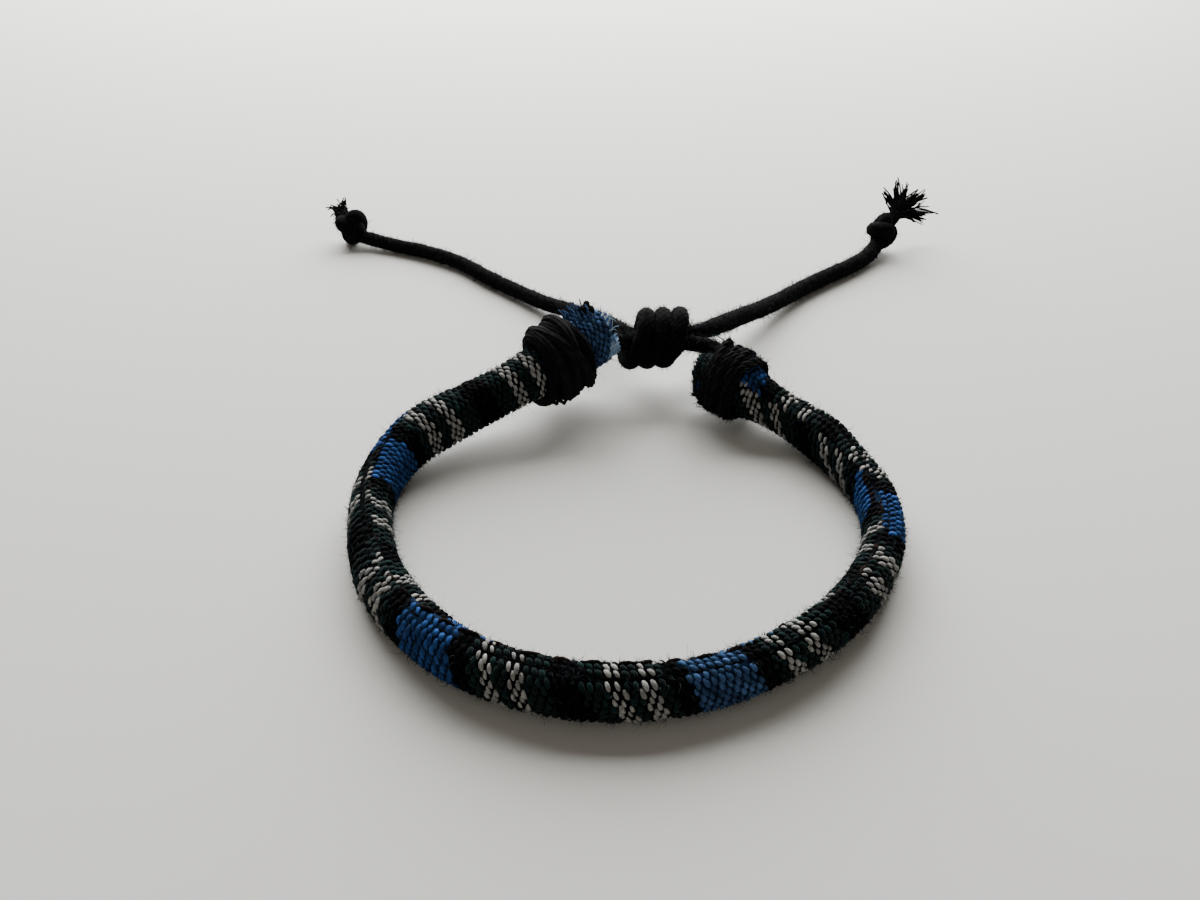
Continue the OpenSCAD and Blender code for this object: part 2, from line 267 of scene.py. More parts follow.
rightRoute = [
    (15.7, 22.8, 7.9), (14.2, 24, 8.3), (12.8, 25.1, 8.4), (11.9, 25.7, 8.3), (10.9, 26.4, 8.1), (9.7, 27.1, 7.8),
    (7.6, 27.7, 7.2), (5.4, 28.3, 6.9), (3.2, 28.9, 7.2), (1.5, 29.9, 7.6), (0.3, 31.6, 7.4), (-1, 33.9, 6.8),
    (-2.6, 37, 5.7), (-4.9, 41, 4.3), (-8, 45.4, 2.9), (-12.1, 49.7, 1.8), (-16.8, 54.3, 1.4),
    (-22.4, 59.6, 1.3), (-28.6, 65.7, 1.3), (-35.2, 69.9, 1.3), (-41.4, 72.6, 1.3), (-47.9, 75.2, 1.8),
]
knotMiddle = (5.4, 28.3, 8)


def braid(height):
    # two sets of strands cross; at each crossing one of them lies on top
    strands, pitch = cordSet["strands"], cordSet["braidPitch"]

    def relief(turn, at):
        one = strands * turn / (4 * math.pi) + at / pitch * strands / 2
        two = strands * turn / (4 * math.pi) - at / pitch * strands / 2
        onTop = (np.floor(one) + np.floor(two)) % 2 < 1
        across = np.where(onTop, one % 1, two % 1)
        run = np.where(onTop, two % 1, one % 1)
        return height * (np.sin(math.pi * across) ** 0.7 * (0.55 + 0.45 * np.sin(math.pi * run)) * 2 - 1)
    return relief


def cordTube(route, radius):
    fine = spline(route, np.linspace(0, len(route) - 1, 1200))
    points, at = evenSteps(fine, cordSet["step"])
    away = np.linalg.norm(points - knotMiddle, axis=1)
    share = np.clip((away - cordSet["gripReach"]) / (cordSet["fullReach"] - cordSet["gripReach"]), 0, 1)
    radii = cordSet["gripRadius"] + (radius - cordSet["gripRadius"]) * share
    tuck = np.clip(at / cordSet["tuckReach"], 0, 1)
    radii = np.minimum(radii, cordSet["tuckRadius"] + (radii - cordSet["tuckRadius"]) * tuck)
    part = tube(points, radii * uneven(at, cordSet["waves"]), cordSet["sides"], braid(cordSet["braidRelief"]))
    return part, points, at[-1]


leftPart, leftLine, leftLength = cordTube(leftRoute, cordSet["leftRadius"])
rightPart, rightLine, rightLength = cordTube(rightRoute, cordSet["rightRadius"])
leftCord = makePiece("leftTieCord", [leftPart], blackCord)
rightCord = makePiece("rightTieCord", [rightPart], blackCord)
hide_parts("left_tie_cord")
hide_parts("right_tie_cord")
print("tie cords laid", round(leftLength, 1), round(rightLength, 1))


# the band's own surface, from the same rows as its solid: x, y, lowest z, half width, half height,
# how many degrees its seam is turned from the top, and how much of the lapped edge there is
bandRows = np.array([
    (-2.6, 27.4, 5.2, 3.1, 3.9, 70, 0), (-5.2, 25.2, 4.7, 3.3, 4.4, 70, 0), (-8.8, 22.2, 4.1, 3.5, 4.3, 65, 0),
    (-13.4, 19, 3.6, 2.9, 3.6, 60, 0.4), (-21.2, 13.9, 1.9, 2.7, 3.4, 45, 1), (-27.8, 7.9, 0.7, 2.6, 3.3, 25, 1),
    (-30.5, 0.4, 0.1, 2.5, 3.2, 5, 1), (-29.6, -8.1, 0, 2.5, 3.1, -5, 1), (-25.8, -16.6, 0, 2.4, 3, 0, 1),
    (-19.2, -24.2, 0, 2.3, 3, 10, 1), (-10.1, -28.6, 0, 2.4, 3, 15, 1), (-0.2, -29.8, 0, 2.4, 3, 15, 1),
    (9.5, -28, 0, 2.4, 3, 12, 1), (18.7, -23.5, 0, 2.3, 3, 5, 1), (25.8, -16.9, 0, 2.4, 3, -10, 1),
    (30.2, -9, 0, 2.4, 3, -25, 1), (31, -0.2, 0, 2.4, 2.9, -32, 1), (28.1, 7.7, 0.1, 2.3, 2.8, -36, 1),
    (23.8, 13.9, 0.6, 2.3, 2.8, -38, 1), (20, 17.2, 1.3, 2.6, 3.3, -40, 0.4), (17, 19.3, 1.4, 3.4, 4.2, -40, 0),
    (13.9, 20.9, 2.1, 3.1, 3.8, -40, 0), (10.7, 22, 3, 2.5, 3, -40, 0),
])
bandSet = {
    "sag": 0.2, "squareness": 2.3, "lapRise": 0.15, "coreDepth": 0.25, "grooveDip": 0.1, "grooveReach": 0.3,
    "cutIn": 0.15, "mouthTurn": ((0, 0), (0.25, 0.12), (0.55, 0.3), (0.9, 0.9), (0.95, 1.6)),   # depth, way back in
    # the cloth opens a little past the left binding: height, reach along, middle and reach round
    "flare": (0.45, 3, 17, 4),
    # where the cloth stands out or lies lower: middle and reach along, middle and reach round, height
    "moulds": ((99, 6.5, -1.5, 3.2, -0.45), (68, 14, 6.6, 2.2, 0.3), (92, 14, 6.6, 2.2, 0.34), (148.5, 5.5, 2.2, 4, 1),
        (29, 6, -0.4, 3.6, 0.75), (57, 6.5, 4.6, 3.6, 0.65), (66, 6, -1.6, 3, 0.45)),
    # along the band: the row of stitches that makes the groove, and the turned edge behind it
    "groove": ((0, 0.9), (30, 0.6), (44, 0.5), (62, 0.5), (66, 0.1), (72, -0.5), (78, -0.6), (82, -0.3), (86, 0),
        (92, 0.05), (98, 0.2), (104, 0.6), (108, 0.55), (113, 0.5), (118, 0.9), (123, 1.15), (131, 1.45),
        (140, 1.8), (149, 1.8), (153, 1.4), (156, 1.1), (168, 0.9)),
    "edge": ((0, -0.4), (60, -0.3), (66, -1), (74, -2.1), (108, -2.1), (116, -0.6), (121, 0), (127, 0.4),
        (134, 0.7), (141, 0.1), (147, 0.4), (152, 0.1), (156, -0.4), (168, -0.5)),
}
lastRow, rowStep = len(bandRows) - 1, 0.025


def grooveAt(s):
    return np.interp(s, *zip(*bandSet["groove"]))


def edgeAt(s):
    return np.interp(s, *zip(*bandSet["edge"]))


def squared(v):
    # turns a round section into the band's slightly square one
    return np.sign(v) * np.abs(v) ** (2 / bandSet["squareness"])


def headingAt(u):
    # the level direction in which the band runs
    ahead = spline(bandRows, np.clip(u + 0.05, 0, lastRow)) - spline(bandRows, np.clip(u - 0.05, 0, lastRow))
    return unit(ahead[:, :2])


def outwardOf(ahead):
    return np.stack([ahead[:, 1], -ahead[:, 0]], 1)


uTable = np.linspace(0, lastRow, round(lastRow / rowStep) + 1)
rowTable = spline(bandRows, uTable)
heading = headingAt(uTable)
outward = outwardOf(heading)
turnGrid = np.radians((90 - rowTable[:, 5])[:, None] - np.arange(361))
reach = rowTable[:, 3, None] * squared(np.cos(turnGrid))
rise = rowTable[:, 4, None] * squared(np.sin(turnGrid))
middleLine = np.column_stack([rowTable[:, :2], rowTable[:, 2] + rowTable[:, 4] - bandSet["sag"]])
bandGrid = np.concatenate([
    middleLine[:, None, :2] + outward[:, None] * reach[..., None],
    np.maximum(middleLine[:, 2, None] + rise, 0.02)[..., None],
], -1)
roundTable = np.pad(np.cumsum(np.linalg.norm(np.diff(bandGrid, axis=1), axis=2), axis=1), ((0, 0), (1, 0)))
girthTable = roundTable[:, -1]
shares = np.linspace(0, 1, 361)
bandGrid = np.stack([
    np.stack([np.interp(shares * girthTable[i], roundTable[i], bandGrid[i, :, k]) for k in range(3)], -1)
    for i in range(len(uTable))
])
sTable = runLengths(middleLine)
bandNormals = unit(np.cross(np.gradient(bandGrid, axis=1), np.gradient(bandGrid, axis=0)))
if ((bandGrid - middleLine[:, None]) * bandNormals).sum() < 0:
    bandNormals = -bandNormals
bandLength = sTable[-1]


def bandPoint(s, w, h):
    # s along the band, w round it from the seam down the outer face, h above the cloth
    u = np.interp(s, sTable, uTable)
    girth = np.interp(u, uTable, girthTable)
    f = w / girth
    lap = np.interp(u, uTable, rowTable[:, 6]) * bandSet["lapRise"] * (1 - f)
    past = np.clip(-s, 0, None) + np.clip(s - bandLength, 0, None)
    a = np.clip(u / rowStep, 0, len(uTable) - 1.001)
    b = (f % 1) * 360
    i, j = a.astype(int), np.minimum(b.astype(int), 359)
    p, q = (a - i)[..., None], (b - j)[..., None]

    def mixed(grid):
        near, far = grid[i, j] * (1 - p) + grid[i + 1, j] * p, grid[i, j + 1] * (1 - p) + grid[i + 1, j + 1] * p
        return near * (1 - q) + far * q
    normal = unit(mixed(bandNormals))
    height, reach, across, wide = bandSet["flare"]
    flare = height * np.clip(1 - s / reach, 0, 1) ** 1.5 * np.exp(-((f * girth - across) / wide) ** 2)
    fromSeam = (f + 0.5) % 1.0 * girth - girth / 2
    for middle, reach, across, wide, height in bandSet["moulds"]:
        h = h + height * np.exp(-((s - middle) / reach) ** 2 - ((fromSeam - across) / wide) ** 2)
    place = mixed(bandGrid) + normal * (h + lap + flare)[..., None]
    ahead = np.where(s < 0, -1, 1)[..., None] * np.concatenate([heading[i], np.zeros(i.shape + (1,))], -1)
    return place + ahead * past[..., None]


def girthAt(s):
    return np.interp(np.interp(s, sTable, uTable), uTable, girthTable)


# one grain of the weave: a thread seen where it crosses over the weft
weaveSet = {
    "spacing": 0.42, "repeat": 1.7, "grainLength": 1.2, "grainWidth": 0.5, "grainHeight": 0.28, "plump": 0.16,
    "slim": {"w": 0.86, "b": 0.97}, "dip": 0.13, "grooveDip": 0.16, "jitter": 0.035,
    # lean of the threads, in mm along for each mm round: between the faces, and on each face and the strip
    "plainLean": 0.27,
    "outerLean": ((0, 0.4), (30, 0.8), (38, 1.1), (47, 1.1), (53, 0.4), (57, 0.05), (62, 0.1), (69, 0.25), (79, 0.25),
        (87, 0.38), (95, 0.3), (101, 0.38), (105, 0.48), (110, 0.5), (116, 0.35), (123, 0.25), (135, 0.3),
        (168, 0.35)),
    "innerLean": ((0, 0.3), (31, 0.3), (40, 0.1), (46, 0), (52, -0.05), (60, 0.1), (75, 0.27), (125, 0.27),
        (135, 0.6), (141, 0.8), (147, 0.8), (152, 0.55), (158, 0.36), (168, 0.33)),
    "stripLean": 0.64,
    # bare cloth beside the groove
    "gap": ((0, 0.12), (60, 0.12), (80, 0.3), (103, 0.3), (110, 0.12), (168, 0.12)),
    # one repeat of the stripes, counted in threads, and where its blue stripes lie along the band
    "chart": "b17 k5 g3 w4 g4 w4 g6 k8 g6 w4 g4 w4 g3 k5",
    "blueMiddles": (1.2, 34.1, 68.3, 97.9, 130.3, 161.3),
    # how far the stripes stand off that on the outer face, and on the strip
    "faceShift": ((0, 0), (35, 0.9), (46, 0.9), (57, 0), (66, -0.8), (74, -0.6), (86, 0), (98, 0), (102, -0.6),
        (106, -1.2), (118, -1.2), (124, -0.8), (141, -0.9), (152, -0.2), (168, 0)),
    "stripShift": ((0, 0), (41, -1.8), (46, -1.2), (58, -0.7), (64, 0.3), (69, 0.7), (74, 0.2), (82, 0.2), (90, -0.1),
        (98, 0), (104, -0.3), (119, 0.8), (130, 1.1), (143, 1.3), (152, 0.5), (168, 0.5)),
    "stripFaceShare": 0.93,      # how much of the face's own shift the strip takes too
    "brownZone": ((130, -0.9), (134, -0.3), (138, 0.25)),      # sewing yarn over the edge of the right blue stripe
    "greyerBlueStretches": ((0, 12), (88, 108)),      # stretches of the band whose blue threads take the greyer colours
    # the cut end shows green, with blue between these shares of the girth
    "rightEnd": 5, "rightEndBlue": (0.82, 0.9),
}


def modelGrain():
    bpy.ops.object.select_all(action="DESELECT")
    bpy.ops.mesh.primitive_uv_sphere_add(segments=7, ring_count=5, radius=0.5, location=(0, 0, 0))
    grain = bpy.context.object
    size = (weaveSet["grainLength"], weaveSet["grainWidth"], weaveSet["grainHeight"])
    bpy.ops.object.mode_set(mode="EDIT")
    bpy.ops.mesh.select_all(action="SELECT")
    bpy.ops.transform.rotate(value=math.pi / 2, orient_axis="Y", center_override=(0, 0, 0))
    bpy.ops.transform.resize(value=size, center_override=(0, 0, 0))
    bpy.ops.object.mode_set(mode="OBJECT")
    verts = np.array([v.co for v in grain.data.vertices])
    faces = [list(p.vertices) for p in grain.data.polygons]
    share = np.abs(verts[:, 0]) / (0.5 * weaveSet["grainLength"])
    fuller = 1 + weaveSet["plump"] * np.sin(math.pi * np.clip(share, 0, 1))
    verts[:, 1] *= fuller
    verts[:, 2] *= fuller
    bpy.data.objects.remove(grain)
    return verts, faces


grainVerts, grainFaces = modelGrain()


def weaveAt(name, s):
    return np.interp(s, *zip(*weaveSet[name]))


def stripeAt(place):
    # the stripe's letter for threads whose numbers lie at these places along the band
    chart = np.array(list("".join(code[0] * int(code[1:]) for code in weaveSet["chart"].split())))
    middles = weaveSet["blueMiddles"]
    numbers = np.interp(place, middles, np.arange(len(middles)) * len(chart) + 9)     # the blue's middle thread
    return chart[np.floor(numbers).astype(int) % len(chart)]


def threadShift(s, w):
    # how far along the band a thread has moved by the time it is w round it
    # the outer face has its middle at 3 mm, the inner face at 15 mm
    plain = weaveSet["plainLean"]
    outer, inner = np.clip(w - 3, -4, 2.5), np.clip(w - 15, -2.5, 5)
    onOuter = 3 * plain + weaveAt("outerLean", s) * outer + plain * (w - 3 - outer)
    onInner = 15 * plain + weaveAt("innerLean", s) * inner + plain * (w - 15 - inner)
    share = np.clip((w - 6.5) / 5, 0, 1)
    share = share * share * (3 - 2 * share)
    return onOuter * (1 - share) + onInner * share


def stripeOf(s, w):
    # the stripe at s along the face and w round it
    return stripeAt(s - threadShift(s, w) - weaveAt("faceShift", s) * np.clip(1 - w / 15, 0, 1))


def stripStripe(s, down):
    # the stripe on the strip, down from the groove to the turned edge
    middle = (grooveAt(s) - edgeAt(s)) / 2
    leant = s + weaveSet["stripLean"] * (down - middle) - weaveSet["plainLean"] * (grooveAt(s) - middle)
    return stripeAt(leant - weaveAt("stripShift", s) - weaveAt("faceShift", s) * weaveSet["stripFaceShare"])


# dark padded tube that the threads lie on, open at both cut ends
def bandCore():
    around, sections, cutIn = 52, 360, bandSet["cutIn"]
    s = np.linspace(cutIn, bandLength - cutIn, sections)
    share = np.arange(around) / (around - 1)

    def ring(at, extra):
        w = edgeAt(at) + share * girthAt(at)
        hollow = bandSet["grooveDip"] * np.exp(-((w - grooveAt(at)) / bandSet["grooveReach"]) ** 2)
        return bandPoint(np.full(around, at), w, -bandSet["coreDepth"] - extra - hollow)
    rings = [ring(cutIn + back, extra) for extra, back in reversed(bandSet["mouthTurn"])]
    rings += [ring(at, 0) for at in s[1:-1]]
    rings += [ring(bandLength - cutIn - back, extra) for extra, back in bandSet["mouthTurn"]]
    rings = np.array(rings)
    rings[..., 2] = np.maximum(rings[..., 2], 0.05)
    count, folded = len(rings), len(bandSet["mouthTurn"])
    verts = np.vstack([rings.reshape(-1, 3), rings[0].mean(0), rings[-1].mean(0)])
    faces = [[face[0], *face[:0:-1]] for face in tubeFaces(count, around)]      # its rings run the other way
    at = np.repeat([cutIn] * folded + list(s[1:-1]) + [bandLength - cutIn] * folded, around)
    w = edgeAt(at) + np.tile(share, count) * girthAt(at)
    blue = np.where(w > grooveAt(at), stripeOf(at, w), stripStripe(at, grooveAt(at) - w)) == "b"
    blue = blue & (at > 1) & (at < bandLength - weaveSet["rightEnd"])
    tone = np.append(np.where(blue, 1, 0), [0, 0])
    return {"verts": verts, "faces": faces, "lay": verts.copy(), "tone": tone}


band = makePiece("fabricBand", [bandCore()], coreCloth)
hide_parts("fabric_band")
print("band core made")


def threadPlaces(columns, rows):
    column, row = [part.ravel() for part in np.meshgrid(columns, rows)]
    return column, (row + 0.5 * (column % 2)) * weaveSet["repeat"]      # every other thread stands half a repeat on


def layWeave():
    # for each grain: s, w, stripe letter, lean and share of the full length
    spacing, lean, rightFrom = weaveSet["spacing"], weaveSet["stripLean"], bandLength - weaveSet["rightEnd"]
    column, w = threadPlaces(np.arange(-30, int(bandLength / spacing) + 8), np.arange(-2, 14))
    w = w + 0.25 * np.sin(column / 23)
    s = column * spacing + weaveSet["plainLean"] * w
    for again in range(8):
        s = column * spacing + threadShift(s, w)
    code = stripeOf(s, w)
    low = w / girthAt(s)
    ends = weaveSet["rightEndBlue"]
    code = np.where(s > rightFrom, np.where((low > ends[0]) & (low < ends[1]), "b", "g"), code)
    zone = weaveSet["brownZone"]
    code = np.where((s > zone[0][0]) & (s < zone[-1][0]) & (w - girthAt(s) > weaveAt("brownZone", s)), "n", code)
    keep = (s > 0.1) & (s < bandLength - 0.1)
    keep = keep & (w > grooveAt(s) + weaveAt("gap", s)) & (w < girthAt(s) + edgeAt(s) + 0.1)
    faceLean = (threadShift(s, w + 0.2) - threadShift(s, w - 0.2)) / 0.4
    short = np.where(w < grooveAt(s) + 0.5, 0.75, 1)
    face = [part[keep] for part in (s, w, code, faceLean, short)]

    # the strip between the groove and the turned edge, where the threads lean more
    column, down = threadPlaces(np.arange(0, int(bandLength / spacing) + 1), np.arange(0, 3))
    down = 0.2 + weaveAt("gap", column * spacing) + down
    middle = (grooveAt(column * spacing) - edgeAt(column * spacing)) / 2
    s = column * spacing - lean * (down - middle)
    code = np.where(s > rightFrom, "g", stripStripe(s, down))
    keep = (s > 0.1) & (s < bandLength - 0.1) & (grooveAt(s) - down > edgeAt(s) + 0.2)
    strip = [part[keep] for part in (s, grooveAt(s) - down, code, lean + 0 * s, 0.85 + 0 * s)]
    return [np.concatenate(pair) for pair in zip(face, strip)]


def grainPiece(name, code, material):
    picked = laidGrains[2] == code
    count = int(picked.sum())
    s, w, slant, short = [laidGrains[k][picked][:, None] for k in (0, 1, 3, 4)]
    s = s + chance.normal(0, weaveSet["jitter"], (count, 1))
    w = w + chance.normal(0, weaveSet["jitter"] * 1.5, (count, 1))
    slant = slant + chance.normal(0, 0.06, (count, 1))
    lift = chance.normal(0, 0.03, (count, 1))
    size = 1 + chance.normal(0, 0.09, (count, 1))
    x, y, z = (grainVerts[:, k] * size for k in range(3))
    y = y * weaveSet["slim"].get(code, 1)
    x = x * short
    reach = 1 / np.sqrt(1 + slant ** 2)
    h = z - 0.5 * weaveSet["grainHeight"] + lift - weaveSet["dip"] * (x / (0.5 * weaveSet["grainLength"] * short)) ** 2
    around = w + (x - slant * y) * reach
    h = h - weaveSet["grooveDip"] * np.exp(-((around - grooveAt(s)) / 0.25) ** 2)
    verts = bandPoint(s + (slant * x + y) * reach, around, h)
    verts[..., 2] = np.maximum(verts[..., 2], 0.03)
    faces = []
    for face in grainFaces:
        faces.extend((np.arange(count)[:, None] * len(grainVerts) + face).tolist())
    lay = np.stack([y, z, x + s * 7.3], -1)      # 7.3 sets each thread's fibres apart
    tone = np.clip(0.5 + chance.normal(0, 0.25, (count, 1)), 0.02, 0.98) + 0 * x
    if code == "b":      # the clear blues are the ramp's first two fifths, the greyer ones its last
        greyerStretch = sum((s > start) & (s < end) for start, end in weaveSet["greyerBlueStretches"])
        tone = tone * 0.4 + 0.6 * greyerStretch
    part = {"verts": verts.reshape(-1, 3), "faces": faces, "lay": lay.reshape(-1, 3), "tone": tone.ravel()}
    makePiece(name, [part], material)


laidGrains = layWeave()
grainPiece("blueThreads", "b", blueCotton)
grainPiece("whiteThreads", "w", whiteCotton)
grainPiece("blackThreads", "k", blackCotton)
grainPiece("greenThreads", "g", greenCotton)
print("weave laid", len(laidGrains[0]))


# sewing thread: a line of stitches sunk in the groove, and a thick thread that floats along the turned edge
sewingSet = {
    "lineEnds": (6, 8), "lineStitch": 1.9, "lineGap": 0.5, "lineRadius": 0.09,
    "floatEnds": (7, 9), "floatRadius": (0.16, 0.28), "floatLength": (0.8, 2.6), "floatGap": (0, 1.8),
    # how far the floats stand out, along the band
    "rise": ((0, -0.35), (56, -0.3), (64, 0.03), (95, 0), (100, -0.15), (112, -0.2), (168, -0.35)),
}


def sewingParts():
    parts = []
    at = sewingSet["lineEnds"][0]
    while at < bandLength - sewingSet["lineEnds"][1]:
        t = np.linspace(at, at + sewingSet["lineStitch"] - sewingSet["lineGap"], 8)
        sunk = -0.3 - 0.14 * (np.abs(np.linspace(-1, 1, 8)) ** 4)
        parts.append(tube(bandPoint(t, grooveAt(t), sunk), sewingSet["lineRadius"], 6, tone=chance.uniform(0, 0.4)))
        at += sewingSet["lineStitch"]
    at = sewingSet["floatEnds"][0]
    while at < bandLength - sewingSet["floatEnds"][1]:
        length = chance.uniform(*sewingSet["floatLength"])
        share = np.linspace(-1, 1, 14)
        s = at + length * (share + 1) / 2
        w = edgeAt(s) + 0.2 - 0.18 * share + 0.07 * np.sin(share * 5 + at)
        thick = chance.uniform(*sewingSet["floatRadius"]) * (1 - 0.4 * share ** 2 + 0.12 * np.sin(share * 9 + at))
        h = np.interp(at, *zip(*sewingSet["rise"])) * chance.uniform(0.4, 1.3) - 0.1 - 0.3 * np.abs(share) ** 3
        parts.append(tube(bandPoint(s, w, h), thick, 9, tone=chance.uniform(0.1, 0.9)))
        at += length + chance.uniform(*sewingSet["floatGap"])
    return parts


grainPiece("brownEdgeYarn", "n", brownThread)
makePiece("sewingThread", sewingParts(), brownThread)
print("edge sewn")


def wrapLine(uFrom, uTo, turns, startDeg, lean, gap, wander, leanAt, step=4.0, bulge=None):
    # angle 0 is the outer side of the ring, 90 the top; lean pulls the turns back along the band at leanAt
    angles = np.arange(startDeg, startDeg + turns * 360 + step, step)
    share = (angles - startDeg) / (turns * 360)
    rad = np.radians(angles)
    lean = np.interp(share, (0, 1), lean if isinstance(lean, tuple) else (lean, lean))
    u = uFrom + (uTo - uFrom) * share - lean * np.cos(rad - math.radians(leanAt))
    gap = gap + 0 * rad
    if bulge:      # where the turns pass over a cord: middle row, angle, height
        off = (angles - bulge[1] + 180) % 360 - 180
        gap = gap + bulge[2] * np.exp(-(off / 34) ** 2 - ((u - bulge[0]) / 0.45) ** 2)
    if wander:
        phase = chance.uniform(0, 6.28, 3)
        u = u + wander * (np.sin(rad * 0.37 + phase[0]) + 0.6 * np.sin(rad * 0.81 + phase[1]))
        gap = gap + 0.12 * np.sin(rad * 0.6 + phase[2])
    r = spline(bandRows, np.clip(u, 0, lastRow))
    out = outwardOf(headingAt(u))
    reachOut = (r[:, 3] + gap) * squared(np.cos(rad))
    riseUp = (r[:, 4] + gap) * squared(np.sin(rad))
    place = np.column_stack([r[:, :2] + out * reachOut[:, None], r[:, 2] + r[:, 4] - bandSet["sag"] + riseUp])
    place[:, 2] = np.maximum(place[:, 2], gap + 0.1)
    return place


def longWrap(binding, wander, lift=0):
    # the long winding of one binding, from its first turn to its last
    return wrapLine(binding["uFrom"], binding["uTo"], binding["turns"], binding["startDeg"], binding["lean"],
                    binding["gap"] + lift, wander, binding["leanAt"], bulge=binding.get("bulge"))


# left binding: fat soft wraps of yarn, a little crossed; the plies hardly show
leftBindingSet = {
    "uFrom": 1.3, "uTo": 2.66, "turns": 4.05, "startDeg": 250, "lean": (-0.35, -0.02), "leanAt": 70, "gap": 0.5,
    "yarnRadius": 0.8, "plyRelief": 0.11, "plies": 8, "pitch": 8, "wander": 0.03,
    # turns that cross over the long winding: uFrom, uTo, turns, startDeg, lean, gap
    "crossings": ((2.4, 1.7, 0.95, 250, -0.4, 1.05), (1.5, 2.15, 0.95, 280, -0.08, 1.1), (1.9, 2.4, 0.9, 265, -0.3, 1)),
    "crossWander": 0.02, "crossLeanAt": 80, "crossThin": 0.85,
    # loops of slack yarn low on the inner side: row, angle, size
    "loops": ((2.05, 228, 0.8), (2.2, 236, 0.9), (1.9, 222, 0.7), (2.4, 240, 0.6)),
    "loopRadius": 0.3, "loopPitch": 1.6, "loopHeadingDeg": 40,
}


def softYarn(path, radius, tone):
    points, at = evenSteps(path, 0.3)
    radii = radius * uneven(at, [(0.05, 0.7, chance.uniform(0, 6)), (0.035, 2.3, 0), (0.02, 5.9, 0)])
    height, plies, pitch = [leftBindingSet[key] for key in ("plyRelief", "plies", "pitch")]

    def relief(turn, along):
        return height * (2 * np.abs(np.cos(plies / 2 * turn + math.pi * along / pitch)) - 1)
    return tube(points, radii, 32, relief, tone=tone)


def plied(path, yarnRadius, strands, pitch, step, tones=(0.3, 0.6)):
    # plied yarn: strands turn round each other along a path
    points, at = evenSteps(path, step)
    along, side, over = carriedFrame(points)
    parts = []
    for n in range(strands):
        turn = 2 * math.pi * (n / strands + at / pitch)
        line = points + yarnRadius * 0.5 * (side * np.cos(turn)[:, None] + over * np.sin(turn)[:, None])
        parts.append(tube(line, yarnRadius * 0.56, 6, tone=chance.uniform(*tones)))
    return parts


def yarnLoop(u, angle, size, headingDeg):
    # a small loop of slack yarn that stands out from a binding
    foot = wrapLine(u, u + 0.001, 2 / 360, angle, 0, 0.9, 0, 90, step=1.0)[0]
    row = spline(bandRows, np.array([u]))[0]
    out = unit(foot - row[:3] - [0, 0, row[4]])
    t = np.linspace(-0.25, 1.25, 30) * math.pi
    side = [*turned(1, 0, headingDeg), 0]
    return foot + np.outer(np.sin(t) * size, out) + np.outer(np.cos(t) * size * 0.6, side)


wound = leftBindingSet
leftParts = [softYarn(longWrap(wound, wound["wander"]), wound["yarnRadius"], 0.35)]
for crossing in wound["crossings"]:
    line = wrapLine(*crossing, wound["crossWander"], wound["crossLeanAt"])
    leftParts.append(softYarn(line, wound["yarnRadius"] * wound["crossThin"], 0.6))
for u, angle, size in wound["loops"]:
    line = yarnLoop(u, angle, size, wound["loopHeadingDeg"])
    leftParts += plied(line, wound["loopRadius"], 2, wound["loopPitch"], 0.15)
leftBinding = makePiece("leftBinding", leftParts, blackYarn)
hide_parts("left_binding")

# right binding: many fine turns, further down the band on its outer and top side, and over the cord's end
rightBindingSet = {
    "uFrom": 19.75, "uTo": 21.4, "turns": 12, "startDeg": 10, "lean": 0.3, "leanAt": 35, "gap": 0.45,
    "bulge": (21.2, 58, 1.3),
    "yarnRadius": 0.36, "pitch": 2.8, "wander": 0.03,
    # single turns that cross over the long winding: uFrom, uTo, lean, leanAt, gap
    "crossings": ((19.8, 20.6, 0.34, 30, 0.85), (20.9, 20.2, 0.4, 50, 0.9), (20.3, 19.9, 0.3, 20, 0.8),
        (20.5, 21.3, 0.25, 70, 0.85), (21, 21.45, 0.1, 60, 0.8), (20.6, 20.9, 0.5, 40, 0.95)),
    "crossStartDeg": 40, "crossThin": 0.9, "crossTones": (0.4, 0.8),
}
wound = rightBindingSet
rightParts = plied(longWrap(wound, wound["wander"]), wound["yarnRadius"], 2, wound["pitch"], 0.3)
for uFrom, uTo, lean, leanAt, gap in wound["crossings"]:
    line = wrapLine(uFrom, uTo, 1, wound["crossStartDeg"], lean, gap, wound["wander"], leanAt, bulge=wound["bulge"])
    rightParts += plied(line, wound["yarnRadius"] * wound["crossThin"], 2, wound["pitch"], 0.3, wound["crossTones"])
rightBinding = makePiece("rightBinding", rightParts, blackYarn)
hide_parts("right_binding")
print("bindings wound")


# sliding knot: three turns of cord round both tie cords
knotSet = {"radius": 1.22, "coilRadius": 3.2, "pitch": 2.42, "lean": 0.8, "headingDeg": 4, "turns": 3, "startDeg": -110,
           "sides": 48, "waves": ((0.03, 0.9, 0), (0.02, 2.7, 0))}


def knotLine():
    i = np.arange(0, 20 * knotSet["turns"] + 0.5, 0.5)      # twenty points to a turn, and one between each two
    a = np.radians(360 * i / 20 + knotSet["startDeg"])
    x = knotSet["pitch"] * (i / 20 - knotSet["turns"] / 2) + knotSet["lean"] * np.sin(a)
    y = -knotSet["coilRadius"] * np.cos(a)
    z = knotSet["coilRadius"] * np.sin(a)
    return knotMiddle + np.column_stack([*turned(x, y, knotSet["headingDeg"]), z])


knotPoints, knotAt = evenSteps(knotLine(), 0.2)
knotRadii = knotSet["radius"] * uneven(knotAt, knotSet["waves"])
knotPart = tube(knotPoints, knotRadii, knotSet["sides"], braid(cordSet["braidRelief"]))
slidingKnot = makePiece("slidingKnot", [knotPart], blackCord)
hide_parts("sliding_knot")
print("sliding knot tied")


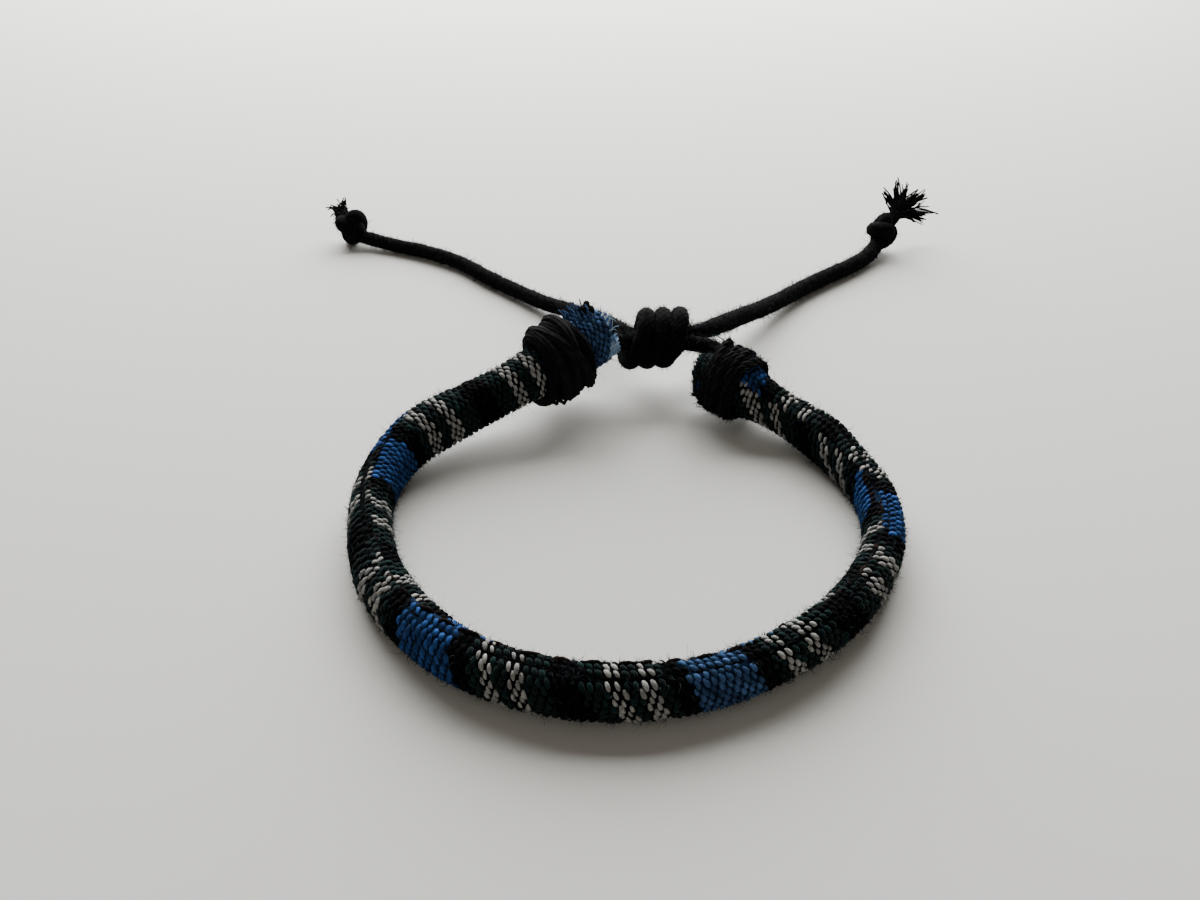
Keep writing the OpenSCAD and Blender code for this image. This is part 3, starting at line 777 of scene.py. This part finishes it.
# stopper knots: a drawn-up overhand knot on each tail
stopperSet = {
    "left": {"middle": (-49.85, 76.5, 3.3), "scale": 0.61, "stretch": 1.1, "turnDeg": 20, "tiltDeg": 55,
             "radius": 1.36},
    "right": {"middle": (49.8, 73.2, 3.9), "scale": 0.54, "stretch": 1.3, "turnDeg": 70, "tiltDeg": 55,
              "radius": 1.28},
    "sides": 40, "braidRelief": 0.07,
}


def overhand(settings):
    t = np.linspace(0, 2 * math.pi, 200)
    x = np.sin(t) + 2 * np.sin(2 * t)
    y = np.cos(t) - 2 * np.cos(2 * t)
    z = -np.sin(3 * t) * 2.1
    y, z = turned(y, z, settings["tiltDeg"])
    x, y = turned(x, y, settings["turnDeg"])
    line = np.column_stack([x, y, z * settings["stretch"]]) * settings["scale"]
    return evenSteps(settings["middle"] + line, 0.2)[0]


def stopperPiece(name, line, settings):
    part = tube(line, settings["radius"], stopperSet["sides"], braid(stopperSet["braidRelief"]))
    return makePiece(name, [part], blackCord)


leftStopperLine = overhand(stopperSet["left"])
rightStopperLine = overhand(stopperSet["right"])
leftStopper = stopperPiece("leftStopperKnot", leftStopperLine, stopperSet["left"])
rightStopper = stopperPiece("rightStopperKnot", rightStopperLine, stopperSet["right"])
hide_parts("left_stopper_knot")
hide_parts("right_stopper_knot")


# frayed ends: the cut cord opens into locks of loose strands
frayedSet = {
    "strandRadius": (0.13, 0.23), "strandTip": 0.55, "strandSides": 5,
    "left": {"root": (-50.6, 77, 3.9), "neck": (-51.7, 78.2, 4.7), "neckRadius": 1.3, "strands": 16,
             "tips": ((-54.6, 80.2, 5.6), (-51.2, 80.2, 7.4), (-53.9, 79.6, 4.8),
        (-53.6, 78.6, 3.4), (-52.8, 80, 5.8), (-52, 79.8, 5.6)),
             "spread": (0.25, 0.2, 0.5, 0.5, 0.6, 0.6)},
    "right": {"root": (50.4, 73.8, 4.6), "neck": (52.2, 75.2, 5.9), "neckRadius": 1.15, "strands": 22,
              "tips": ((50.4, 78.5, 9.4), (53, 80, 10.6), (55.3, 80.5, 10.2), (57.8, 80.5, 8.6), (59.6, 80.5, 8.3),
        (61, 78.2, 5.4), (58.8, 76.8, 4.3), (54.6, 78.6, 8.6), (56.3, 78.8, 7.6), (57, 79.2, 8.2)),
              "spread": (0.35, 0.3, 0.35, 0.6, 0.5, 0.5, 0.5, 0.7, 0.7, 0.7)},
}


def frayedEnd(settings):
    parts = []
    root, neck = np.array([settings["root"], settings["neck"]])
    main = unit(neck - root)
    for tip, spread in zip(settings["tips"], settings["spread"]):
        for n in range(settings["strands"]):
            off = chance.normal(0, 1, 3)
            off = unit(off - main * (off @ main)) * settings["neckRadius"] * math.sqrt(chance.uniform(0, 1))
            end = tip + chance.normal(0, spread, 3)
            end = neck + (end - neck) * chance.uniform(0.6, 1.03)
            hang = (neck + end) / 2 + chance.normal(0, 0.25, 3) + main * 0.5
            line = spline([root + off * 0.7, neck + off, hang + off * 0.45, end], np.linspace(0, 3, 11))
            size = chance.uniform(*frayedSet["strandRadius"]) * np.linspace(1, frayedSet["strandTip"], 11)
            line[:, 2] = np.maximum(line[:, 2], 0.15)
            parts.append(tube(line, size, frayedSet["strandSides"], tone=chance.uniform(0.1, 0.9)))
    return parts


leftFray = makePiece("leftFrayedEnd", frayedEnd(frayedSet["left"]), blackCord)
rightFray = makePiece("rightFrayedEnd", frayedEnd(frayedSet["right"]), blackCord)
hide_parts("left_frayed_end")
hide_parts("right_frayed_end")
print("stoppers and frayed ends made")

# raw ends: frayed threads at the two mouths, a black yarn knob, green wisps and a stray thread on the right
rawEndSet = {
    "threadRadius": (0.05, 0.09),
    # cut threads all round each mouth, and longer ones at the left mouth's tip
    "leftFringe": {"count": 120, "reach": (-0.1, 0.35)}, "rightFringe": {"count": 110, "reach": (0, 0.4)},
    "leftTip": {"count": 70, "reach": (0.15, 0.7), "middle": 12.2, "tones": (0.1, 0.65), "plump": 1.5},
    "tuft": {"count": 46, "s": (2.4, 5), "w": (19, 23.5), "reach": (-0.7, 0.4, 1.3), "radius": (0.1, 0.17)},
    "knob": {"middle": (-4.8, 26.6, 13.6), "scale": 0.26, "stretch": 1, "turnDeg": 60, "tiltDeg": 40, "radius": 0.46},
    "wisps": {"radius": 0.07, "threads": 4, "feetAndTips": (
        ((14.4, 24.2, 9), (13.8, 25.4, 9.9)), ((14.6, 24.1, 9), (14.6, 25.2, 9.9)),
        ((15.1, 23.7, 8.8), (15.7, 24.7, 9.2)), ((13.9, 24.5, 9.2), (13.2, 25.5, 9.6)))},
    "stray": {"radius": 0.1, "path": ((15.2, 23.4, 9.3), (14.6, 24.4, 9.9), (13.8, 25.2, 10.1), (13.1, 25.9, 9.9))},
}


def fringe(settings, sEnd, sign):
    # short threads that stand out past a cut edge, all round it or near one place
    parts = []
    for n in range(settings["count"]):
        w = chance.normal(settings["middle"], 0.7) if "middle" in settings else chance.uniform(0, girthAt(sEnd))
        out = chance.uniform(*settings["reach"])
        s = sEnd + sign * np.linspace(-0.8, out, 7)
        t = np.linspace(0, 1, 7)
        sway = t ** 2
        h = -0.1 + 0.1 * t + chance.normal(0, 0.25) * sway
        line = bandPoint(s, w + chance.normal(0, 0.5) * sway, h)
        size = settings.get("plump", 1) * chance.uniform(*rawEndSet["threadRadius"]) * np.linspace(1, 0.45, 7)
        parts.append(tube(line, size, 5, tone=chance.uniform(*settings.get("tones", (0, 1)))))
    return parts


def wisps(settings):
    # a few green threads drawn out of the weave at the right binding
    parts = []
    for foot, tip in np.array(settings["feetAndTips"]):
        for n in range(settings["threads"]):
            end = foot + (tip - foot) * chance.uniform(0.5, 1.1) + chance.normal(0, 0.16, 3)
            bend = (foot + end) / 2 + chance.normal(0, 0.12, 3)
            line = spline([foot, bend, end], np.linspace(0, 2, 7))
            parts.append(tube(line, settings["radius"] * np.linspace(1, 0.4, 7), 5, tone=chance.uniform(0.3, 1)))
    return parts


def tuft(settings):
    # loose blue threads drawn up over the edge of the left binding
    parts = []
    for n in range(settings["count"]):
        s, w = chance.uniform(*settings["s"]), chance.uniform(*settings["w"])
        foot = bandPoint(np.array([s]), np.array([w]), -0.1)[0]
        end = foot + np.array(settings["reach"]) * chance.uniform(0.5, 1.1) + chance.normal(0, 0.25, 3)
        bend = (foot + end) / 2 + chance.normal(0, 0.14, 3) + [0.2, 0, 0.1]
        line = spline([foot, bend, end], np.linspace(0, 2, 7))
        size = chance.uniform(*settings["radius"]) * np.linspace(1, 0.6, 7)
        parts.append(tube(line, size, 6, tone=chance.uniform(0.6, 1)))
    return parts


cutLeft, cutRight = bandSet["cutIn"], bandLength - bandSet["cutIn"]
makePiece("leftBlueTuft", tuft(rawEndSet["tuft"]), blueCotton)
leftParts = fringe(rawEndSet["leftFringe"], cutLeft, -1) + fringe(rawEndSet["leftTip"], cutLeft, -1)
makePiece("leftRawThreads", leftParts, paleThread)
rightParts = fringe(rawEndSet["rightFringe"], cutRight, 1) + wisps(rawEndSet["wisps"])
makePiece("rightRawThreads", rightParts, greenCotton)
strayLine = spline(rawEndSet["stray"]["path"], np.linspace(0, 3, 16))
strayPart = tube(strayLine, rawEndSet["stray"]["radius"] * np.linspace(1, 0.6, 16), 6, tone=1)
makePiece("rightStrayThread", [strayPart], greenCotton)
knobPart = tube(overhand(rawEndSet["knob"]), rawEndSet["knob"]["radius"], 16)
makePiece("yarnKnob", [knobPart], blackYarn)
print("raw ends frayed")


# loose fibres that stand off the cloth, yarn and cords
fuzzSet = {
    "curl": 0.9, "tip": 0.25, "bandSpread": 0.8, "tubeSpread": 0.9, "rootDepth": 0.06,
    # how many, and the shortest and the usual extra length
    "band": 10000, "bandLength": (0.2, 0.24), "cord": 4600, "knot": 2300, "stopper": 600, "cordLength": (0.28, 0.24),
    "yarn": 2300, "yarnLength": (0.22, 0.24), "bandThick": (0.026, 0.054), "cordThick": (0.034, 0.07),
    # radius at which they stand on each cord
    "radius": {"leftCord": 1.3, "rightCord": 1.18, "knot": 1.14, "leftStopper": 1.3, "rightStopper": 1.28},
    "rightYarnLift": 0.3,
}


def hairs(roots, outs, lengths, thick, spread):
    # many three-sided hairs at once, thinning to their tips
    count, steps, curlBy = len(roots), 3, fuzzSet["curl"]
    t = np.linspace(0, 1, steps)[:, None]
    lean = unit(outs + chance.normal(0, spread, (count, 3)))
    curl = unit(np.cross(lean, chance.normal(0, 1, (count, 3))))
    over = np.cross(lean, curl)
    sway = chance.normal(0, curlBy, (count, 1, 1)) * t ** 2
    wave = chance.normal(0, curlBy * 0.4, (count, 1, 1)) * np.sin(t * 5)
    bent = lean[:, None] * t + curl[:, None] * sway + over[:, None] * wave
    line = roots[:, None] + lengths[:, None, None] * bent
    size = thick[:, None, None, None] * (1 - (1 - fuzzSet["tip"]) * t[..., None])
    turn = np.arange(3)[:, None] * 2 * math.pi / 3
    ring = curl[:, None, None] * np.cos(turn) + over[:, None, None] * np.sin(turn)
    verts = line[:, :, None] + size * ring
    verts[..., 2] = np.maximum(verts[..., 2], 0.02)
    first = np.arange(count)[:, None] * steps * 3
    quads = (first[..., None] + np.array(tubeFaces(steps, 3)[:3 * (steps - 1)])).reshape(-1, 4).tolist()
    caps = (first + np.array([2, 1, 0])).tolist() + (first + (steps - 1) * 3 + np.array([0, 1, 2])).tolist()
    verts = verts.reshape(-1, 3)
    tone = np.repeat(chance.uniform(0, 1, count), steps * 3)
    return {"verts": verts, "faces": quads + caps, "lay": verts.copy(), "tone": tone}


def hairLengths(count, shortest, extra):
    return shortest + chance.exponential(extra, count).clip(0, 3 * extra)


def bandFuzz():
    count = fuzzSet["band"]
    s = chance.uniform(0.5, bandLength - 0.5, count)
    w = chance.uniform(0, 1, count) * girthAt(s)
    foot, above = bandPoint(s, w, -0.08), bandPoint(s, w, 0.92)
    lengths = hairLengths(count, *fuzzSet["bandLength"])
    return hairs(foot, above - foot, lengths, chance.uniform(*fuzzSet["bandThick"], count), fuzzSet["bandSpread"])


def tubeFuzz(line, radius, count, lengths):
    along, side, over = carriedFrame(line)
    i = chance.integers(2, len(line) - 2, count)
    turn = chance.uniform(0, 2 * math.pi, count)[:, None]
    out = side[i] * np.cos(turn) + over[i] * np.sin(turn)
    lengths = hairLengths(count, *lengths)
    roots = line[i] + out * (radius - fuzzSet["rootDepth"])
    return hairs(roots, out, lengths, chance.uniform(*fuzzSet["cordThick"], count), fuzzSet["tubeSpread"])


def cordHairs(line, where, count):
    return tubeFuzz(line, fuzzSet["radius"][where], fuzzSet[count], fuzzSet["cordLength"])


makePiece("bandFuzz", [bandFuzz()], fuzzFibre)
leftHairs = [cordHairs(leftLine, "leftCord", "cord"), cordHairs(rightStopperLine, "rightStopper", "stopper")]
rightHairs = [cordHairs(rightLine, "rightCord", "cord"), cordHairs(leftStopperLine, "leftStopper", "stopper")]
leftCordHair = makePiece("leftCordFuzz", leftHairs, blackFibre)
rightCordHair = makePiece("rightCordFuzz", rightHairs, blackFibre)
makePiece("knotFuzz", [cordHairs(knotPoints, "knot", "knot")], blackFibre)
yarnHairs = [tubeFuzz(longWrap(wound, 0, lift), wound["yarnRadius"], fuzzSet["yarn"], fuzzSet["yarnLength"])
             for wound, lift in ((leftBindingSet, 0), (rightBindingSet, fuzzSet["rightYarnLift"]))]
makePiece("bindingFuzz", yarnHairs, blackFibre)
print("fuzz grown")


# floor and light: a pale matt table, a large softbox behind and two faint ones that fill
floorSet = {"size": 3, "colour": "#adaba6", "rough": 0.9, "ior": 1.45}
bpy.ops.mesh.primitive_plane_add(size=floorSet["size"], location=(0, 0, 0))
floor = bpy.context.object
floor.name = "paleTable"
floor.data.materials.append(startMaterial("paleMattTable", {
    "Roughness": floorSet["rough"], "Base Color": linear(floorSet["colour"]), "IOR": floorSet["ior"]})[0])

lightSet = {"behind": {"place": (-0.015, 0.43, 0.19), "size": 0.62, "watts": 22, "colour": (0.97, 0.99, 1)},
            "front": {"place": (0, -0.42, 0.07), "size": 0.4, "watts": 0.9, "colour": (1, 0.97, 0.92)},
            "above": {"place": (0, 0.05, 0.7), "size": 0.6, "watts": 0.5, "colour": (1, 0.95, 0.86)}}
roomSet = {"colour": (1, 0.9, 0.74, 1), "strength": 0.1}
for name, light in lightSet.items():
    data = bpy.data.lights.new(name + "Softbox", "AREA")
    data.size = light["size"]
    data.energy = light["watts"]
    data.color = light["colour"]
    lamp = bpy.data.objects.new(name + "Softbox", data)
    lamp.location = light["place"]
    lamp.rotation_euler = (-lamp.location).to_track_quat("-Z", "Y").to_euler()
    scene.collection.objects.link(lamp)
world = bpy.data.worlds.new("softRoom")
world.use_nodes = True
room = world.node_tree.nodes["Background"].inputs
room["Color"].default_value, room["Strength"].default_value = roomSet["colour"], roomSet["strength"]
scene.world = world
print("floor and lights set")
